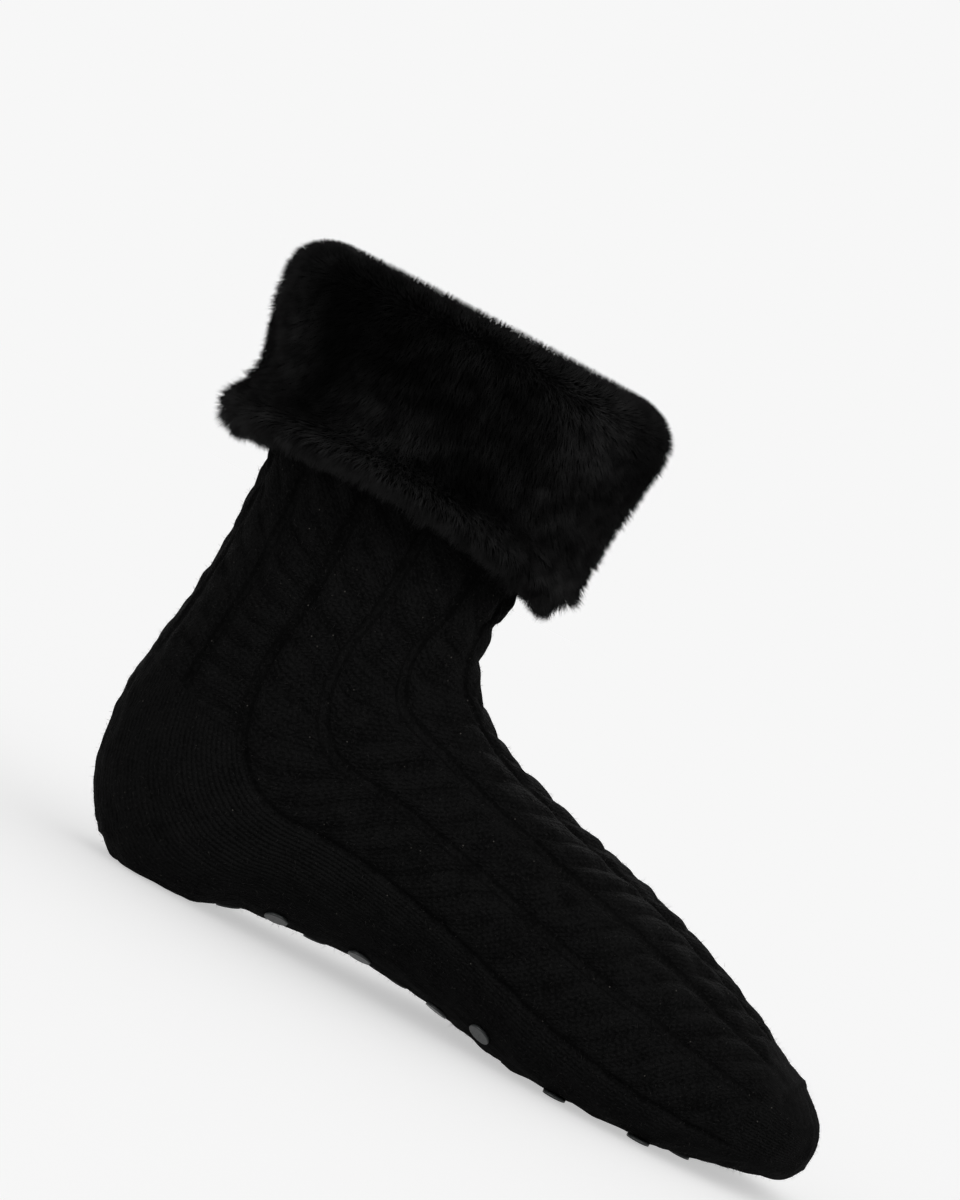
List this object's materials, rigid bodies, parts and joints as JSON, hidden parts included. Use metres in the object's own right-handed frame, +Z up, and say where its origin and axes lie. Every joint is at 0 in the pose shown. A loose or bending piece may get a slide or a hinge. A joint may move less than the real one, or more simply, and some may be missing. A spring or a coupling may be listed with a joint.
{
  "type": "slipper sock",
  "caption": "Knitted slipper sock with cable columns, a turned-down plush cuff and round rubber grip dots under the sole.",
  "frame": {"origin": "on the floor, midway between the back of the cuff and the toe, on the sock's midline", "axes": "+X from heel to toe, +Y to the left of someone looking towards the toe, +Z up along the leg"},
  "size_m": [0.2655, 0.1174, 0.1976],
  "materials": {
    "black_wool_knit": "matt fuzzy wool-blend cable knit, near black",
    "black_plush": "deep tufted plush pile, near black",
    "dark_grey_rubber": "semi-gloss printed silicone, dark grey"
  },
  "bodies": {
    "root": {"knit_foot_and_leg": "black_wool_knit", "plush_cuff": "black_plush", "grip_dot_01": "dark_grey_rubber", "grip_dot_02": "dark_grey_rubber", "grip_dot_03": "dark_grey_rubber", "grip_dot_04": "dark_grey_rubber", "grip_dot_05": "dark_grey_rubber", "grip_dot_06": "dark_grey_rubber", "grip_dot_07": "dark_grey_rubber", "grip_dot_08": "dark_grey_rubber", "grip_dot_09": "dark_grey_rubber", "grip_dot_10": "dark_grey_rubber", "grip_dot_11": "dark_grey_rubber", "grip_dot_12": "dark_grey_rubber", "grip_dot_13": "dark_grey_rubber", "grip_dot_14": "dark_grey_rubber", "grip_dot_15": "dark_grey_rubber", "grip_dot_16": "dark_grey_rubber", "grip_dot_17": "dark_grey_rubber", "grip_dot_18": "dark_grey_rubber", "grip_dot_19": "dark_grey_rubber", "grip_dot_20": "dark_grey_rubber", "grip_dot_21": "dark_grey_rubber", "grip_dot_22": "dark_grey_rubber", "grip_dot_23": "dark_grey_rubber", "grip_dot_24": "dark_grey_rubber", "grip_dot_25": "dark_grey_rubber"}
  },
  "joints": []
}
